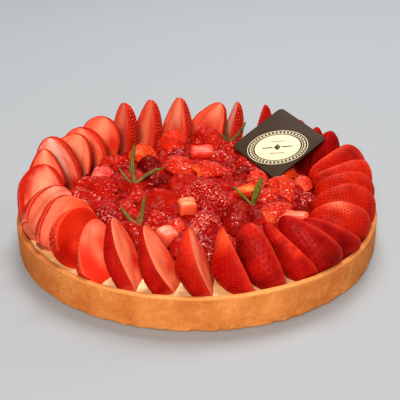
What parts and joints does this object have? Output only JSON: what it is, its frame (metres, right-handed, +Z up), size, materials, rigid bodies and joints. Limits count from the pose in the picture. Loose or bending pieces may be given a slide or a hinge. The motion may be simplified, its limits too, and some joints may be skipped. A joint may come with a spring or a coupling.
{
  "type": "strawberry tart",
  "caption": "Round open tart: straight-sided shortcrust shell, pastry cream, a ring of strawberry halves round a glazed heap of cut berries, with rosemary tips and a square plaque.",
  "frame": {"origin": "on the table under the middle of the shell", "axes": "+Z up; the front of the tart, with the lowest part of its heap, looks along -Y; +X is to the right seen from the front"},
  "size_m": [0.2398, 0.2398, 0.0657],
  "materials": {
    "shortcrust": "golden baked shortcrust, dry and fine-grained, a little paler on the rim",
    "cream": "pale yellow pastry cream with a soft shine",
    "strawberry": "glossy red skin with seeds, and a paler, wet cut face",
    "glazed_strawberry": "deep red berry pieces under a thick clear glaze",
    "rosemary": "olive green needles, slightly waxy",
    "chocolate": "dark brown satin chocolate with a plain ivory oval"
  },
  "bodies": {
    "root": {"pastry_shell": "shortcrust", "pastry_cream": "cream", "berry_half_01": "strawberry", "berry_half_02": "strawberry", "berry_half_03": "strawberry", "berry_half_04": "strawberry", "berry_half_05": "strawberry", "berry_half_06": "strawberry", "berry_half_07": "strawberry", "berry_half_08": "strawberry", "berry_half_09": "strawberry", "berry_half_10": "strawberry", "berry_half_11": "strawberry", "berry_half_12": "strawberry", "berry_half_13": "strawberry", "berry_half_14": "strawberry", "berry_half_15": "strawberry", "berry_half_16": "strawberry", "berry_half_17": "strawberry", "berry_half_18": "strawberry", "berry_half_19": "strawberry", "berry_half_20": "strawberry", "berry_half_21": "strawberry", "berry_half_22": "strawberry", "berry_half_23": "strawberry", "berry_half_24": "strawberry", "berry_half_25": "strawberry", "berry_half_26": "strawberry", "berry_half_27": "strawberry", "berry_half_28": "strawberry", "berry_half_29": "strawberry", "berry_half_30": "strawberry", "berry_half_31": "strawberry", "berry_half_32": "strawberry", "berry_half_33": "strawberry", "berry_heap": "glazed_strawberry", "rosemary_01": "rosemary", "rosemary_02": "rosemary", "rosemary_03": "rosemary", "rosemary_04": "rosemary", "plaque": "chocolate"}
  },
  "joints": []
}
